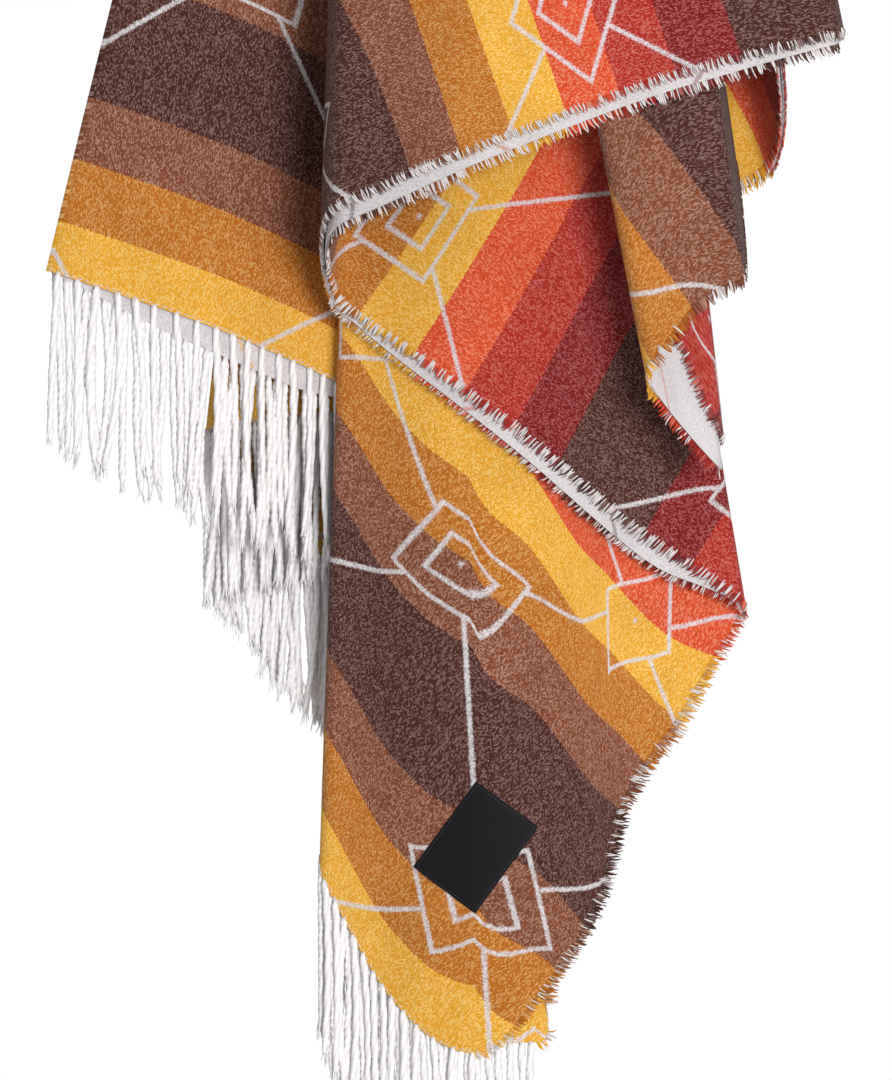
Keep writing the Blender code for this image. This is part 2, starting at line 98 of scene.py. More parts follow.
# One row for each fold, corner and bend of the open edges. x and drop are where it
# hangs and topX where its line starts at the top, turn is a fold's roundness, and
# spread how early the line leaves for x. lift1 and lift2 raise the hems of the
# front and the back layer, shift2 moves the back one sideways, and push moves both
# back. u and v are its flat place, topV is the flat place on the centre fold that
# it hangs from, and pull is how far the stripes keep their width.
Row = namedtuple("Row", "place kind x drop turn spread topX lift1 lift2 shift2 push u v topV pull")
edgeRows = (
    Row("near fold end", "end", -234, 697, 0, 0.75, -19, 0, 0, 0, -22, 0.0, 0.2, 22.6, 0.96),
    Row("left panel", "bend", -146, 727, 0, 0.70, -10, 0, -13, 0, -22, 2.56, 0.2, 22.8, 0.96),
    Row("left panel right", "bend", -94, 748, 0, 0.65, 0, 0, -14, 0, -8, 4.10, 0.2, 23.1, 0.97),
    Row("first back fold", "right", -42, 771, 6, 0.60, 9, 0, -2, 0, 0, 5.7, 0.2, 23.3, 0.98),
    Row("second back fold", "left", -143, 790, 6, 0.65, -14, 0, 0, 0, 0, 8.9, 0.2, 23.5, 0.98),
    Row("back panel", "bend", -85, 858, 0, 0.65, 0, 0, 0, 0, 0, 10.75, 0.2, 23.6, 0.97),
    Row("third back fold", "right", -12, 912, 8, 0.60, 16, 0, 0, 0, 0, 12.6, 0.2, 23.7, 0.96),
    Row("back panel low", "bend", -40, 972, 0, 0.58, 0, 0, 0, 0, 0, 14.5, 0.2, 23.8, 0.95),
    Row("long left fold", "left", -75, 1047, 6, 0.56, -14, 0, -2, 0, 0, 16.9, 0.2, 23.8, 0.94),
    Row("long hem left", "bend", -62, 1080, 0, 0.60, -8.5, 0, -3, 0, 0, 17.88, 0.2, 23.7, 0.93),
    Row("long hem middle", "bend", -36, 1122, 0, 0.65, -6, 0, -2, 0, 0, 19.26, 0.2, 23.8, 0.93),
    Row("long hem right", "bend", -4, 1150, 0, 0.70, -3, 0, 2, 26, 0, 20.44, 0.2, 24, 0.94),
    Row("near corner", "corner", 15, 1155, 0, 0.75, -1, 0, 7, 37, 0, 21, 0.2, 24.5, 0.96),
    Row("long edge low", "bend", 58, 1111, 0, 0.80, 2, 0, 2, 3, 0, 21, 1.79, 25.5, 1),
    Row("long edge middle", "bend", 88, 1059, 0, 0.85, 4, 0, -2, 0, 0, 21, 3.72, 26.7, 1.03),
    Row("long edge hollow", "bend", 101, 1006, 0, 0.88, 6, 0, -3, 0, 0, 21, 5.15, 27.6, 1.05),
    Row("long edge high", "bend", 133, 958, 0, 0.92, 9, 0, -4, 0, 0, 21, 7.02, 28, 1.04),
    Row("right fold", "right", 170, 891, 6, 0.95, 14, -5, -2, 0, 0, 21, 8.81, 28.2, 1.03),
    Row("second edge right", "bend", 111, 848, 0, 0.85, 5, -17, 0, 0, 0, 21, 11.09, 28.3, 1.01),
    Row("second edge middle", "bend", 38, 787, 0, 0.75, -4, -15, 0, 0, 0, 21, 14, 28.5, 1),
    Row("second edge left", "bend", -29, 737, 0, 0.60, -12, -12, 0, 0, 0, 21, 16.3, 28.8, 1),
    Row("left fold", "left", -73, 681, 12, 0.45, -25, -4, -8, 0, 0, 21, 18.51, 29.2, 1),
    Row("front edge left", "bend", -50, 656, 0, 0.50, -15, 0, -11.5, 0, 0, 21, 20.05, 29.7, 1),
    Row("front edge middle", "bend", 30, 625, 0, 0.55, -5, 0, -9.5, 0, 0, 21, 22.82, 30.2, 1),
    Row("front edge right", "bend", 140, 586, 0, 0.55, 10, 0, -8.5, 0, 0, 21, 26.35, 30.5, 1),
    Row("far right fold", "right", 223, 563, 10, 0.55, 24, 0, -5, 0, 0, 21, 29.03, 30.4, 1),
    Row("hidden pleat", "left", 140, 556, 6, 0.60, -8, 0, 0, 0, 0, 21, 32.6, 30.1, 1),
    Row("flap right fold", "right", 167, 695, 7, 0.60, 17, 0, 0, 0, 0, 21, 36.6, 29.7, 1.01),
    Row("flap edge", "bend", 142, 718, 0, 0.80, 4, 8, 0, 0, 0, 21, 37.83, 29.6, 1.01),
    Row("flap left fold", "left", 114, 760, 6, 1.20, -10, 22, 0, 0, 0, 21, 39.27, 30, 1.01),
    Row("open inside", "bend", 132, 789, 0, 0.90, 0, 64, 0, 0, 0, 21, 41.05, 31, 1.01),
    Row("flap lower fold", "right", 156, 814, 6, 0.58, 10, 18, 0, 0, 0, 21, 42.3, 32.3, 1),
    Row("hidden rise", "bend", 120, 690, 0, 0.60, -3, 0, 0, 0, 0, 21, 43.9, 33.9, 1),
    Row("hidden left fold", "left", 86, 572, 7, 0.60, -16, 0, 0, 0, 0, 21, 45.5, 35.5, 1),
    Row("hidden edge", "bend", 165, 552, 0, 0.58, 4, 0, 0, 0, 0, 21, 46.42, 37, 1),
    Row("rear right fold", "right", 195, 609, 10, 0.58, 24, 0, -3, 0, 0, 21, 47.03, 38.3, 1),
    Row("rear edge right", "bend", 163, 647, 0, 0.60, 16, -6, 0, 0, 0, 21, 49.03, 39.4, 1),
    Row("rear edge middle", "bend", 85, 755, 0, 0.60, 6, -6, 0, 0, 0, 21, 52.5, 40, 1),
    Row("far corner", "corner", 12, 872, 0, 0.60, -6, 0, -3, 0, 0, 21, 56, 40.4, 1),
    Row("rear left fold", "left", -57, 833, 6, 0.60, -14, 0, -2, 0, 0, 18.8, 56, 40.6, 1),
    Row("rear fold right", "right", 114, 734, 6, 0.65, 14, 0, 0, 0, 0, 13.2, 56, 40.7, 1),
    Row("rear upper fold", "left", -146, 588, 6, 0.65, -14, 0, 0, 0, 0, 4.9, 56, 40.8, 1),
    Row("far fold end", "end", -12, 515, 0, 0.70, 12, 0, 0, 0, 0, 0.0, 56, 40.8, 1),
)


def linearColour(hexColour):
    parts = [int(hexColour[i:i + 2], 16) / 255 for i in (1, 3, 5)]
    linear = [p / 12.92 if p <= 0.04045 else ((p + 0.055) / 1.055) ** 2.4 for p in parts]
    return (*linear, 1.0)


# The panels hang closer together towards the top.
def pitchAt(drop):
    share = np.maximum(drop, 0.0) / clothSettings["fullDrop"]
    widening = clothSettings["lowPitch"] - clothSettings["topPitch"]
    return clothSettings["topPitch"] + widening * share ** clothSettings["pitchPower"]


# How far back the hollow pushes the cloth.
def valleyAt(x, drop):
    share = np.clip(drop / clothSettings["valleyDrop"], 0.0, 1.0)
    lean, flare, deepen = clothSettings["valleyPowers"]
    centre = clothSettings["valleyX"] * share ** lean
    width = clothSettings["valleyWidth"] * share ** flare + clothSettings["valleyNeck"]
    return clothSettings["valleyDepth"] * share ** deepen * np.exp(-((x - centre) / width) ** 2 / 2)


# A smooth curve through the values at the knots that never swings past them.
def smoothBetween(places, knots, values):
    knots, values = np.asarray(knots, float), np.asarray(values, float)
    gaps = np.diff(knots)
    slopes = np.diff(values) / gaps
    tangents = np.zeros(len(knots))
    sameWay = slopes[:-1] * slopes[1:] > 0
    mean = 2 * slopes[:-1] * slopes[1:] / np.where(sameWay, slopes[:-1] + slopes[1:], 1.0)
    tangents[1:-1] = np.where(sameWay, mean, 0.0)
    tangents[0], tangents[-1] = slopes[0], slopes[-1]
    spot = np.clip(np.searchsorted(knots, places, side="right") - 1, 0, len(gaps) - 1)
    share = (np.asarray(places) - knots[spot]) / gaps[spot]
    rise = share * share * (3 - 2 * share)
    bend = share * (1 - share) ** 2 * tangents[spot] + share * share * (share - 1) * tangents[spot + 1]
    return values[spot] * (1 - rise) + values[spot + 1] * rise + gaps[spot] * bend


# The open edges cut up into stations, each with its x, its x at the top, its panel
# and the row it belongs to.
def planStations():
    plan = []
    panel = 0
    steps = clothSettings["turnSteps"]
    for row in edgeRows:
        if row.kind in ("right", "left"):
            sign = 1.0 if row.kind == "right" else -1.0
            before, after = panelRanks[panel], panelRanks[panel + 1]
            topTurn = clothSettings["topPitch"] / 2 + clothSettings["widerTurn"] * (abs(after - before) - 1)
            for step in range(steps + 1):
                angle = math.pi * (step / steps - 0.5)
                back = sign * (1.0 - math.cos(angle))
                rank = (before + after) / 2 + (after - before) / 2 * math.sin(angle)
                held = row if step == steps // 2 else None
                plan.append((row.x - row.turn * back, row.topX - topTurn * back, rank, held, row))
            panel += 1
        else:
            plan.append((row.x, row.topX, float(panelRanks[panel]), row, row))
    filled = [plan[0]]
    for here, there in zip(plan, plan[1:]):
        count = 1
        if here[2] == there[2]:
            count = max(1, round(abs(there[0] - here[0]) / clothSettings["stationStep"]))
        for step in range(1, count + 1):
            share = step / count
            last = step == count
            mixed = [here[i] + (there[i] - here[i]) * share for i in range(3)]
            filled.append((*mixed, there[3] if last else None, there[4] if last else None))
    return filled


# The open edges as arrays, one value for each station.
def edgeArrays():
    plan = planStations()
    arrays = {name: np.array([p[i] for p in plan]) for i, name in enumerate(("x", "topX", "rank"))}
    steps = np.hypot(np.diff(arrays["x"]), np.diff(arrays["rank"]) * clothSettings["lowPitch"])
    along = np.concatenate(([0.0], np.cumsum(np.maximum(steps, clothSettings["leastStep"]))))
    smooth = ("drop", "lift1", "lift2", "topV", "pull")
    for slot, names in ((3, smooth), (4, ("spread", "shift2", "push"))):
        held = [i for i, p in enumerate(plan) if p[slot]]
        for name in names:
            values = [getattr(plan[i][slot], name) for i in held]
            arrays[name] = smoothBetween(along, along[held], values)
    held = [i for i, p in enumerate(plan) if p[3]]
    corners = [i for i in held if plan[i][3].kind in ("corner", "end")]
    for first, last in zip(corners, corners[1:]):
        inside = [i for i in held if first <= i <= last]
        span = slice(first, last + 1)
        for name in ("u", "v"):
            values = [getattr(plan[i][3], name) for i in inside]
            whole = arrays.setdefault(name, np.zeros(len(plan)))
            whole[span] = smoothBetween(along[span], along[inside], values)
    middle = clothSettings["middleRank"]
    arrays["top"] = -clothSettings["shoulder"] * ((arrays["rank"] - middle) / middle) ** 2
    arrays["rows"] = [p[3] for p in plan]
    return arrays


edge = edgeArrays()
stationCount = len(edge["x"])
cornerSpots = [i for i, row in enumerate(edge["rows"]) if row and row.kind == "corner"]
print("stations:", stationCount)


# The middle between the two layers, at one station and at the heights z. The back
# layer is shifted and the whole is pushed back mostly near the hem.
def clothPlace(i, z, layer):
    shifted = edge["shift2"][i] if layer == 2 else 0.0
    share = np.clip((edge["top"][i] - z) / (edge["top"][i] + edge["drop"][i]), 0.0, None)
    x = edge["topX"][i] + (edge["x"][i] - edge["topX"][i]) * share ** edge["spread"][i] + shifted * share ** 5
    y = (edge["rank"][i] - clothSettings["middleRank"]) * pitchAt(-z)
    y = y + valleyAt(x, -z) + edge["push"][i] * share ** 2
    wave = sum(
        size * np.sin(x / wide + z / tall + edge["rank"][i] * byPanel + begin)
        for size, wide, tall, byPanel, begin in clothSettings["waves"]
    )
    return np.stack((x, y + wave * np.minimum(share, 1.0), z + 0.0 * x), axis=-1)


# The same places, and the way from them out to the layer's striped face.
def clothSide(i, z, layer):
    here = clothPlace(i, z, layer)
    sides = []
    for other in (i - 1, i + 1):
        if 0 <= other < stationCount:
            step = (clothPlace(other, z, layer) - here)[..., :2] * (other - i)
            length = np.maximum(np.linalg.norm(step, axis=-1, keepdims=True), 1e-6)
            sides.append(np.stack((step[..., 1], -step[..., 0]), axis=-1) / length)
    total = sum(sides)
    total = total / np.maximum(np.linalg.norm(total, axis=-1, keepdims=True), 1e-6)
    stretch = 1.0 / np.maximum((total * sides[0]).sum(-1), clothSettings["mitre"])
    side = total * stretch[..., None] * (1.0 if layer == 1 else -1.0)
    return here, np.concatenate((side, 0.0 * side[..., :1]), axis=-1)


def hemHeight(i, layer):
    return -(edge["drop"][i] - edge["lift1" if layer == 1 else "lift2"][i])


def riseHeights(i, layer):
    shares = np.array(clothSettings["riseShares"])
    return edge["top"][i] + (hemHeight(i, layer) - edge["top"][i]) * shares


# The level way out past an end of the edges, where the two layers join.
def endWay(i):
    inner = 1 if i == 0 else stationCount - 2
    z = np.array([-edge["drop"][i] * 0.5])
    step = (clothPlace(i, z, 1) - clothPlace(inner, z, 1))[0]
    step[2] = 0.0
    return step / np.linalg.norm(step)


# Where each point of a column lies on the flat cloth. Near the hem the stripes
# keep their width, and the slack is taken up towards the hanging point.
def flatPlaces(i, places, layer):
    lengths = np.linalg.norm(np.diff(places, axis=0), axis=1)
    fromHem = np.concatenate((np.cumsum(lengths[::-1])[::-1], [0.0]))
    total = fromHem[0]
    u, v, topV, pull = (edge[name][i] for name in ("u", "v", "topV", "pull"))
    flatLength = max(math.hypot(u, topV - v) * flatUnit, 1.0)
    run = pull * fromHem + (flatLength - pull * total) * (fromHem / total) ** 3
    share = run / flatLength
    sign = 1.0 if layer == 1 else -1.0
    return np.stack((sign * (u - u * share), v + (topV - v) * share), axis=-1)


# All columns of one face, round both layers, with a column at each end between them.
def clothColumns(away):
    columns, flats = [], []

    def nose(i):
        z = riseHeights(i, 1)
        places = clothPlace(i, z, 1)
        columns.append(places + endWay(i) * away)
        flats.append(flatPlaces(i, places, 1) * (0.0, 1.0))

    nose(0)
    for layer in (1, 2):
        order = range(stationCount) if layer == 1 else reversed(range(stationCount))
        for i in order:
            places, side = clothSide(i, riseHeights(i, layer), layer)
            columns.append(places + side * away)
            flats.append(flatPlaces(i, places, layer))
        if layer == 1:
            nose(stationCount - 1)
    return np.array(columns), np.array(flats)


def meshObject(name, points, faces, materials, slots, flats):
    mesh = bpy.data.meshes.new(name)
    mesh.from_pydata((np.asarray(points) * millimetre).tolist(), [], faces)
    for material in materials:
        mesh.materials.append(material)
    mesh.polygons.foreach_set("material_index", slots)
    layer = mesh.uv_layers.new(name="flat")
    corners = np.empty(len(mesh.loops), dtype=np.int32)
    mesh.loops.foreach_get("vertex_index", corners)
    layer.data.foreach_set("uv", np.asarray(flats, dtype=np.float32)[corners].ravel())
    thing = bpy.data.objects.new(name, mesh)
    bpy.context.scene.collection.objects.link(thing)
    mesh.shade_smooth()
    mesh.update()
    return thing


# Materials. The cloth's patterns follow its own flat places, and the others follow
# the object's coordinates in metres, so a rate there is so many to a metre.
def addNode(tree, kind, links, output=0, **settings):
    node = tree.nodes.new("ShaderNode" + kind)
    for name, value in settings.items():
        setattr(node, name, value)
    for key, value in links.items():
        socket = node.inputs[key]
        if isinstance(value, bpy.types.NodeSocket):
            tree.links.new(value, socket)
        else:
            socket.default_value = value
    return node.outputs[output]


def newMaterial(name, roughness, sheen):
    material = bpy.data.materials.new(name)
    material.use_nodes = True
    shader = material.node_tree.nodes["Principled BSDF"]
    shader.inputs["Roughness"].default_value = roughness
    shader.inputs["Specular IOR Level"].default_value = 0.1  # loose fibres give hardly any shine
    shader.inputs["Sheen Weight"].default_value = sheen
    shader.inputs["Sheen Roughness"].default_value = 0.5
    return material, material.node_tree, shader


gold, amber, chestnut, umber = "#e7a734", "#b96c22", "#804830", "#4c2822"
orange, crimson, maroon = "#d84c2b", "#ab2d23", "#7a1f1d"
# Where each stripe starts in the repeat, in flat units.
stripeColours = (
    (0, gold), (1, amber), (2, chestnut), (3, umber), (5, chestnut), (6, amber), (7, gold),
    (8, orange), (9, crimson), (10, maroon), (11, umber), (13, maroon), (14, crimson), (15, orange),
)

woolSettings = {
    "white": "#d4cbcb",
    "reverse": "#d4cdce",
    "stripePeriod": 16.0,  # flat units
    "edgeWander": 0.09,  # how far a stripe's edge strays, in flat units
    "wanderRate": 22.0,  # to a flat unit, one in 1.6 mm
    "motifAcross": 3.5,  # half of the motifs' repeat, in flat units
    "motifAlong": 5.6,
    "motifPlace": (1.6, -2.2),
    "boxAlong": 3.7,
    "lozenge": (1.3, 1.0, 0.5, 0.79),  # half width, half height, gap of the rings, flat units a step
    "box": (0.85, 0.6, 0.5, 0.68),
    "small": (0.8, 1.1, 1.0, 0.65),
    "ringReach": 1.06,
    "slantScale": 0.69,
    "riseScale": 0.88,
    "lineHalfWidth": 0.033,  # flat units, so a line is 2.4 mm wide
    "lineSoft": (0.6, 1.5),
    "lineFuzz": 0.07,
    "fuzzRate": 30.0,  # to a flat unit, one in 1.2 mm
    "lineWorn": (0.62, 0.94),  # how much of the white shows between and on the stitches
    "reverseLine": 0.55,
    "stitchLong": 1.3,  # mm
    "stitchWide": 0.64,
    "stitchGap": 0.13,
    "sway": (0.55, 0.4, 0.0),  # mm
    "swayRate": 0.55,  # to a millimetre, as are the next two
    "cloudRate": 0.03,
    "napRate": 0.8,
    "stripedFleck": (0.45, 0.95),  # gamma of the pale flecks, and how far they show
    "reverseFleck": (0.55, 0.6),
    "between": 0.8,  # how dark the ground between the stitches is
    "cloudShade": (0.92, 1.06),
    "napShade": (0.9, 1.08),
    "stitchHeight": 0.7,
    "bumpStrength": 0.5,
    "bumpDistance": 0.0005,
}


def flatUnits(tree):
    place = addNode(tree, "UVMap", {}, uv_map="flat")
    parts = addNode(tree, "SeparateXYZ", {0: place}).node.outputs
    length = clothSettings["length"]
    u = addNode(tree, "Math", {0: parts[0], 1: length}, operation="MULTIPLY")
    v = addNode(tree, "Math", {0: parts[1], 1: length}, operation="MULTIPLY")
    return u, v


def stripes(tree, u, v):
    period, wander = woolSettings["stripePeriod"], woolSettings["edgeWander"]
    spot = addNode(tree, "CombineXYZ", {0: u, 1: v})
    noise = addNode(tree, "TexNoise", {"Vector": spot, "Scale": woolSettings["wanderRate"], "Detail": 4.0})
    stray = addNode(tree, "Math", {0: noise, 1: wander, 2: -wander / 2}, operation="MULTIPLY_ADD")
    place = addNode(tree, "Math", {0: v, 1: stray}, operation="ADD")
    place = addNode(tree, "Math", {0: place, 1: period}, operation="FLOORED_MODULO")
    share = addNode(tree, "Math", {0: place, 1: period}, operation="DIVIDE")
    colour = addNode(tree, "ValToRGB", {0: share})
    ramp = colour.node.color_ramp
    ramp.interpolation = "CONSTANT"
    while len(ramp.elements) < len(stripeColours):
        ramp.elements.new(0.5)
    for stop, (start, hexColour) in zip(ramp.elements, stripeColours):
        stop.position = start / period
        stop.color = linearColour(hexColour)
    return colour


# A plain lattice of long lines, with nested lozenges and boxes where they meet. A
# field grows by one from a shape's centre to its rim, and a line is drawn where
# the field passes a step.
def motifLines(tree, u, v):
    half, tall, boxAlong = (woolSettings[name] for name in ("motifAcross", "motifAlong", "boxAlong"))
    lineHalf, fuzzSize = woolSettings["lineHalfWidth"], woolSettings["lineFuzz"]
    placeU, placeV = woolSettings["motifPlace"]
    spot = addNode(tree, "CombineXYZ", {0: u, 1: v})
    noise = addNode(tree, "TexNoise", {"Vector": spot, "Scale": woolSettings["fuzzRate"], "Detail": 2.0})
    fuzz = addNode(tree, "Math", {0: noise, 1: fuzzSize, 2: -fuzzSize / 2}, operation="MULTIPLY_ADD")
    movedU = addNode(tree, "Math", {0: u, 1: placeU}, operation="ADD")
    movedV = addNode(tree, "Math", {0: v, 1: placeV}, operation="ADD")
    across = addNode(tree, "Math", {0: movedU, 1: half}, operation="PINGPONG")
    along = addNode(tree, "Math", {0: movedV, 1: tall}, operation="PINGPONG")

    def shapeField(sideways, upwards, name, operation):
        wide, high = woolSettings[name][:2]
        first = addNode(tree, "Math", {0: sideways, 1: wide}, operation="DIVIDE")
        second = addNode(tree, "Math", {0: upwards, 1: high}, operation="DIVIDE")
        return addNode(tree, "Math", {0: first, 1: second}, operation=operation)

    def lineWhere(field, scale):
        soft, softer = woolSettings["lineSoft"]
        size = addNode(tree, "Math", {0: field}, operation="ABSOLUTE")
        away = addNode(tree, "Math", {0: size, 1: scale, 2: fuzz}, operation="MULTIPLY_ADD")
        return addNode(tree, "MapRange", {0: away, 1: lineHalf * soft, 2: lineHalf * softer, 3: 1.0, 4: 0.0})

    def rings(field, name):
        gap, scale = woolSettings[name][2:]
        step = addNode(tree, "Math", {0: field, 1: gap / 2}, operation="PINGPONG")
        inside = addNode(tree, "Math", {0: field, 1: woolSettings["ringReach"]}, operation="LESS_THAN")
        return addNode(tree, "Math", {0: lineWhere(step, scale), 1: inside}, operation="MULTIPLY")

    def beyond(line, *fields):
        for field in fields:
            outside = addNode(tree, "Math", {0: field, 1: 1.0}, operation="GREATER_THAN")
            line = addNode(tree, "Math", {0: line, 1: outside}, operation="MULTIPLY")
        return line

    farAcross = addNode(tree, "Math", {0: half, 1: across}, operation="SUBTRACT")
    fromBox = addNode(tree, "Math", {0: along, 1: boxAlong}, operation="SUBTRACT")
    fromBox = addNode(tree, "Math", {0: fromBox}, operation="ABSOLUTE")
    fromTop = addNode(tree, "Math", {0: tall, 1: along}, operation="SUBTRACT")
    lozenge = shapeField(across, along, "lozenge", "ADD")
    box = shapeField(farAcross, fromBox, "box", "MAXIMUM")
    small = shapeField(across, fromTop, "small", "ADD")
    climb = addNode(tree, "Math", {0: across, 1: boxAlong / half}, operation="MULTIPLY")
    slant = addNode(tree, "Math", {0: along, 1: climb}, operation="SUBTRACT")
    rise = addNode(tree, "Math", {0: across, 1: (tall - boxAlong) / half, 2: along}, operation="MULTIPLY_ADD")
    rise = addNode(tree, "Math", {0: rise, 1: tall}, operation="SUBTRACT")
    lines = rings(lozenge, "lozenge")
    for line in (
        rings(box, "box"),
        rings(small, "small"),
        beyond(lineWhere(slant, woolSettings["slantScale"]), lozenge, box),
        beyond(lineWhere(rise, woolSettings["riseScale"]), box, small),
    ):
        lines = addNode(tree, "Math", {0: lines, 1: line}, operation="MAXIMUM")
    return lines


# Rows of short stitches along the warp, each a little lighter or darker. They are
# drawn a little coarser than real ones, so that they show at the render's size.
def weaveStitches(tree, u, v):
    along = addNode(tree, "Math", {0: v, 1: flatUnit}, operation="MULTIPLY")
    across = addNode(tree, "Math", {0: u, 1: flatUnit}, operation="MULTIPLY")
    place = addNode(tree, "CombineXYZ", {0: along, 1: across})
    rates = [woolSettings[name] for name in ("swayRate", "cloudRate", "napRate")]
    sway = addNode(tree, "TexNoise", {"Vector": place, "Scale": rates[0], "Detail": 2.0}, "Color")
    swaying = {0: sway, 1: woolSettings["sway"], 2: place}
    swayed = addNode(tree, "VectorMath", swaying, operation="MULTIPLY_ADD")
    stitch = addNode(
        tree,
        "TexBrick",
        {
            "Vector": swayed,
            "Color1": (0.0, 0.0, 0.0, 1.0),
            "Color2": (1.0, 1.0, 1.0, 1.0),
            "Mortar": (0.0, 0.0, 0.0, 1.0),
            "Scale": 1.0,
            "Mortar Size": woolSettings["stitchGap"],
            "Mortar Smooth": 1.0,
            "Bias": 0.0,
            "Brick Width": woolSettings["stitchLong"],
            "Row Height": woolSettings["stitchWide"],
        },
    )
    cloud = addNode(tree, "TexNoise", {"Vector": place, "Scale": rates[1], "Detail": 3.0})
    nap = addNode(tree, "TexNoise", {"Vector": place, "Scale": rates[2], "Detail": 3.0})
    return stitch, cloud, nap


# Pale flecks on the stitches, darker ground between them, a cloudy shade over the
# whole cloth and a soft nap.
def finishWool(tree, shader, colour, weave, fleck):
    stitch, cloud, nap = weave
    gamma, strength = fleck
    cloudLow, cloudHigh = woolSettings["cloudShade"]
    napLow, napHigh = woolSettings["napShade"]
    light = addNode(tree, "MapRange", {0: stitch, 1: 0.4, 2: 0.95, 3: 0.0, 4: strength})
    dark = addNode(tree, "MapRange", {0: stitch, 1: 0.0, 2: 0.35, 3: woolSettings["between"], 4: 1.0})
    pale = addNode(tree, "Gamma", {"Color": colour, "Gamma": gamma})
    colour = addNode(tree, "Mix", {"Factor": light, 6: colour, 7: pale}, 2, data_type="RGBA")
    cloudy = addNode(tree, "MapRange", {0: cloud, 1: 0.3, 2: 0.7, 3: cloudLow, 4: cloudHigh})
    fuzzy = addNode(tree, "MapRange", {0: nap, 1: 0.3, 2: 0.7, 3: napLow, 4: napHigh})
    shade = addNode(tree, "Math", {0: cloudy, 1: dark}, operation="MULTIPLY")
    shade = addNode(tree, "Math", {0: shade, 1: fuzzy}, operation="MULTIPLY")
    grey = addNode(tree, "CombineColor", {0: shade, 1: shade, 2: shade})
    sides = {"Factor": 1.0, 6: colour, 7: grey}
    shaded = addNode(tree, "Mix", sides, 2, data_type="RGBA", blend_type="MULTIPLY")
    tree.links.new(shaded, shader.inputs["Base Color"])
    raised = {0: stitch, 1: woolSettings["stitchHeight"], 2: nap}
    height = addNode(tree, "Math", raised, operation="MULTIPLY_ADD")
    strength, distance = woolSettings["bumpStrength"], woolSettings["bumpDistance"]
    bump = addNode(tree, "Bump", {"Strength": strength, "Distance": distance, "Height": height})
    tree.links.new(bump, shader.inputs["Normal"])


# Wool and cotton, woven as a double cloth in stripes with white lines and then
# brushed: matt, with a heathered ground and a faint bloom where it turns away.
def stripedWool():
    material, tree, shader = newMaterial("brushed striped wool", 0.95, 0.08)
    u, v = flatUnits(tree)
    weave = weaveStitches(tree, u, v)
    low, high = woolSettings["lineWorn"]
    worn = addNode(tree, "MapRange", {0: weave[0], 1: 0.0, 2: 0.3, 3: low, 4: high})
    lines = addNode(tree, "Math", {0: motifLines(tree, u, v), 1: worn}, operation="MULTIPLY")
    sides = {"Factor": lines, 6: stripes(tree, u, v), 7: linearColour(woolSettings["white"])}
    colour = addNode(tree, "Mix", sides, 2, data_type="RGBA")
    finishWool(tree, shader, colour, weave, woolSettings["stripedFleck"])
    return material


# The white reverse of the double cloth, brushed alike. The lines change places with
# the ground there, and show in the stripe's colour.
def reverseWool():
    material, tree, shader = newMaterial("brushed white reverse", 0.95, 0.2)
    u, v = flatUnits(tree)
    drawn = {0: motifLines(tree, u, v), 1: woolSettings["reverseLine"]}
    lines = addNode(tree, "Math", drawn, operation="MULTIPLY")
    sides = {"Factor": lines, 6: linearColour(woolSettings["reverse"]), 7: stripes(tree, u, v)}
    colour = addNode(tree, "Mix", sides, 2, data_type="RGBA")
    finishWool(tree, shader, colour, weaveStitches(tree, u, v), woolSettings["reverseFleck"])
    return material


yarnSettings = {
    "woolColours": ("#c9bcb8", "#ece8e8"),
    "woolRate": 900.0,  # to a metre, a fibre's clump in 1.1 mm
    # the darker cotton colour stands both for painted shade in the plies' groove and for the fibres' own tone
    "cottonColours": ("#e4dfdf", "#f4f2f2"),
    "cottonRate": 1400.0,  # one in 0.7 mm
    # how wide the painted shade in the groove between the plies reaches, in the UV map's first value
    "cottonGrooveShade": 0.55,
    "cottonFibre": 0.45,
    "cottonFibreHeight": 0.6,
    "threadColours": ("#1b1b1f", "#3a3a42"),
    "threadRate": 2500.0,  # one in 0.4 mm
}


# White wool, spun and cut off short at the edges: matt and mottled by its fibres.
def whiteWool():
    material, tree, shader = newMaterial("white wool ends", 0.95, 0.2)
    dark, light = (linearColour(c) for c in yarnSettings["woolColours"])
    place = addNode(tree, "TexCoord", {}, "Object")
    mottle = addNode(tree, "TexNoise", {"Vector": place, "Scale": yarnSettings["woolRate"], "Detail": 2.0})
    colour = addNode(tree, "Mix", {"Factor": mottle, 6: dark, 7: light}, 2, data_type="RGBA")
    tree.links.new(colour, shader.inputs["Base Color"])
    return material
